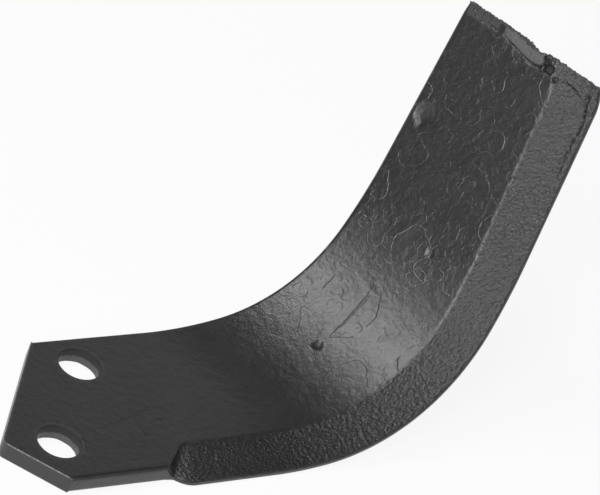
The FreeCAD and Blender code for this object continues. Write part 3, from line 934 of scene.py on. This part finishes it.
def blackPaint(p):
    material = bpy.data.materials.new("satinBlackPaint")
    material.use_nodes = True
    tree = material.node_tree
    shader = tree.nodes["Principled BSDF"]
    place = readLayer(tree, "blankPlace", "Vector")
    bevelSkin = readLayer(tree, "bevelSkin")
    worn = readLayer(tree, "wornEdge")
    torn = readLayer(tree, "tornMetal")
    concave = readLayer(tree, "concaveFace")
    paintedShadeMask = readLayer(tree, "paintedShadePocket")
    flatPlace = vectorNode(tree, "MULTIPLY", place, (1.0, 1.0, 0.0))

    skin = useGroup(tree, hammeredSkin(), {"Place": place, "Size": p["peelSize"]})
    curls = brushCurls()
    wide = useGroup(tree, curls, {"Place": flatPlace, "Size": p["curlSize"], "Width": 0.018})
    tight = useGroup(tree, curls, {
        "Place": vectorNode(tree, "ADD", flatPlace, (31.0, 17.0, 0.0)),
        "Size": p["curlSize"] * 0.52, "Width": 0.030, "Radius": 0.38})
    middling = useGroup(tree, curls, {
        "Place": vectorNode(tree, "ADD", flatPlace, (-13.0, 43.0, 0.0)),
        "Size": p["curlSize"] * 0.74, "Width": 0.020, "Radius": 0.30})
    curlMask = mathNode(tree, "MAXIMUM", wide["Mask"],
                        mathNode(tree, "MULTIPLY", tight["Mask"], 0.6))
    curlMask = mathNode(tree, "MAXIMUM", curlMask,
                        mathNode(tree, "MULTIPLY", middling["Mask"], 0.8))
    # the curls fade out on the shank and on the bevel
    apart = tree.nodes.new("ShaderNodeSeparateXYZ")
    plug(tree, apart.inputs["Vector"], place)
    pastShank = rampNode(tree, apart.outputs["X"], 70.0, 135.0)
    onWing = mathNode(tree, "MULTIPLY_ADD", pastShank, 0.85, 0.15)
    offBevel = mathNode(tree, "MULTIPLY_ADD", bevelSkin, -0.9, 1.0)
    curlMask = mathNode(tree, "MULTIPLY", curlMask, mathNode(tree, "MULTIPLY", onWing, offBevel))
    scratch = hairScratch()
    fray = noiseNode(tree, flatPlace, 1.1, 3.0)
    scratchMask = 0.0
    for start, end, width in p["scratches"]:
        line = useGroup(tree, scratch, {
            "Place": flatPlace, "From": (*start, 0.0), "To": (*end, 0.0),
            "Width": width, "Fray": fray})
        scratchMask = mathNode(tree, "MAXIMUM", line["Mask"], scratchMask)
    scratchMask = mathNode(tree, "MULTIPLY", scratchMask, concave)

    fine = noiseNode(tree, place, 1.0 / p["grainSize"], 2.0, 0.6)
    mottle = noiseNode(tree, place, 0.11, 4.0, 0.55)
    stain = rampNode(tree, noiseNode(tree, place, 0.035, 3.0), 0.52, 0.70)
    specks = tree.nodes.new("ShaderNodeTexVoronoi")
    plug(tree, specks.inputs["Vector"], place)
    specks.inputs["Scale"].default_value = 0.16
    speckMask = rampNode(tree, specks.outputs["Distance"], 0.045, 0.02)

    base = mixColours(tree, stain, p["colour"], p["warm"])
    shade = mathNode(tree, "MULTIPLY_ADD", mottle, 0.5, 0.75)
    base = mixColours(tree, mathNode(tree, "MULTIPLY", fine, shade), base, p["dusty"])
    patches = rampNode(tree, noiseNode(tree, place, 0.8, 4.0, 0.65), 0.32, 0.56)
    wornMask = mathNode(tree, "MULTIPLY", worn, patches)
    light = mathNode(tree, "MAXIMUM", mathNode(tree, "MULTIPLY", curlMask, p["curlShare"]),
                     mathNode(tree, "MULTIPLY", scratchMask, p["scratchShare"]))
    for mask in (wornMask, speckMask):
        light = mathNode(tree, "MAXIMUM", light, mathNode(tree, "MULTIPLY", mask, p["wornShare"]))
    base = mixColours(tree, light, base, p["wornColour"])
    tornMask = mathNode(tree, "MULTIPLY", torn, p["tornShare"])
    base = mixColours(tree, tornMask, base, p["tornColour"])
    # painted shade over the sheared hole walls, deep dents and the dip by the tip; the same mask
    # also roughens them
    base = mixColours(tree, paintedShadeMask, base, p["paintedShadeColour"])
    plug(tree, shader.inputs["Base Color"], base)
    shader.inputs["IOR"].default_value = p["index"]

    gloss = mathNode(tree, "MULTIPLY_ADD", mottle, p["roughnessSpread"],
                     p["roughness"] - p["roughnessSpread"] / 2)
    for mask, extra in ((fine, 0.05), (torn, 0.12), (paintedShadeMask, 0.40)):
        gloss = mathNode(tree, "ADD", gloss, mathNode(tree, "MULTIPLY", mask, extra))
    plug(tree, shader.inputs["Roughness"], gloss)

    # heights are in millimetres; each skin is taken about its mean, so its mask leaves no step
    lumps = mathNode(tree, "SUBTRACT", skin["Height"], 0.74)
    peel = mathNode(tree, "MULTIPLY", lumps, mathNode(
        tree, "MULTIPLY_ADD", bevelSkin, p["peelHeight"], 0.05))
    shreds = mathNode(tree, "SUBTRACT", noiseNode(tree, place, 1.4, 4.0, 0.6), 0.5)
    tornPeel = mathNode(tree, "MULTIPLY", shreds, mathNode(
        tree, "MULTIPLY", torn, p["tornHeight"]))
    height = mathNode(tree, "ADD", peel, tornPeel)
    waves = noiseNode(tree, place, 0.3, 3.0)
    for mask, rise in ((fine, p["grainHeight"]), (curlMask, p["curlHeight"]),
                       (scratchMask, -p["scratchDepth"]), (waves, p["waveHeight"])):
        height = mathNode(tree, "ADD", height, mathNode(tree, "MULTIPLY", mask, rise))
    bump = tree.nodes.new("ShaderNodeBump")
    bump.inputs["Distance"].default_value = 0.001
    plug(tree, bump.inputs["Height"], height)
    plug(tree, shader.inputs["Normal"], bump.outputs["Normal"])
    return material


blade.data.materials.append(blackPaint(paint))
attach(blade, "root")
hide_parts("tiller_blade")
print("paint ready")


studio = {
    "floorColour": (0.85, 0.85, 0.85, 1),
    "floorSize": 8.0,
    "floorGlow": 0.90,       # share of plain white in what the floor shows
    "worldStrength": 0.12,
    "centre": (0.09, 0.02, 0.05),
}

lamps = [  # name, compass direction and height in degrees, distance, size, radiance
    ("overheadBox", 146, 63, 1.3, (0.60, 0.40), 9.0),
    ("frontBox", 209, 36, 1.4, (0.42, 1.15), 9.5),
    ("farBox", 50, 33, 1.5, (0.70, 0.45), 0.7),
    ("rightFill", -55, 30, 1.6, (1.30, 0.90), 0.6),
]


def studioFloor(s):
    bpy.ops.object.select_all(action="DESELECT")
    bpy.ops.mesh.primitive_plane_add(size=s["floorSize"], location=(0.1, 0.0, cadBox[0][2]))
    floor = bpy.context.object
    floor.name = "studio_floor"
    material = bpy.data.materials.new("paleFloor")
    material.use_nodes = True
    tree = material.node_tree
    shader = tree.nodes["Principled BSDF"]
    shader.inputs["Base Color"].default_value = s["floorColour"]
    shader.inputs["Roughness"].default_value = 0.9
    path = tree.nodes.new("ShaderNodeLightPath")
    seen = mathNode(tree, "MAXIMUM",
                    path.outputs["Is Camera Ray"], path.outputs["Is Glossy Ray"])
    seen = mathNode(tree, "MAXIMUM", seen, path.outputs["Is Transmission Ray"])
    glow = tree.nodes.new("ShaderNodeEmission")
    mix = tree.nodes.new("ShaderNodeMixShader")
    plug(tree, mix.inputs["Fac"], mathNode(tree, "MULTIPLY", seen, s["floorGlow"]))
    tree.links.new(shader.outputs["BSDF"], mix.inputs[1])
    tree.links.new(glow.outputs["Emission"], mix.inputs[2])
    tree.links.new(mix.outputs["Shader"], tree.nodes["Material Output"].inputs["Surface"])
    floor.data.materials.append(material)


def addLamp(s, name, compass, rise, distance, size, brightness):
    around, up = math.radians(compass), math.radians(rise)
    direction = Vector((
        math.cos(around) * math.cos(up), math.sin(around) * math.cos(up), math.sin(up)))
    bpy.ops.object.select_all(action="DESELECT")
    bpy.ops.object.light_add(type="AREA", location=Vector(s["centre"]) + direction * distance)
    lamp = bpy.context.object
    lamp.name = name
    lamp.data.shape = "RECTANGLE"
    lamp.data.size, lamp.data.size_y = size
    lamp.data.energy = brightness * math.pi * size[0] * size[1]
    lamp.rotation_euler = (-direction).to_track_quat("-Z", "Y").to_euler()


studioFloor(studio)
for lampRow in lamps:
    addLamp(studio, *lampRow)

world = bpy.data.worlds.new("softStudio")
bpy.context.scene.world = world
world.use_nodes = True
background = world.node_tree.nodes["Background"]
background.inputs["Color"].default_value = (1, 1, 1, 1)
background.inputs["Strength"].default_value = studio["worldStrength"]

view = {
    "place": (-0.64667, -0.74377, 0.78884),
    "turn": (52.5819, -19.9707, -29.4168),
    "lens": 208.574,
}

bpy.ops.object.camera_add(location=view["place"])
camera = bpy.context.object
camera.rotation_euler = [math.radians(angle) for angle in view["turn"]]
camera.data.sensor_width = 36
camera.data.lens = view["lens"]
bpy.context.scene.camera = camera
bpy.context.scene.view_settings.view_transform = "Standard"
print("camera and lights set")
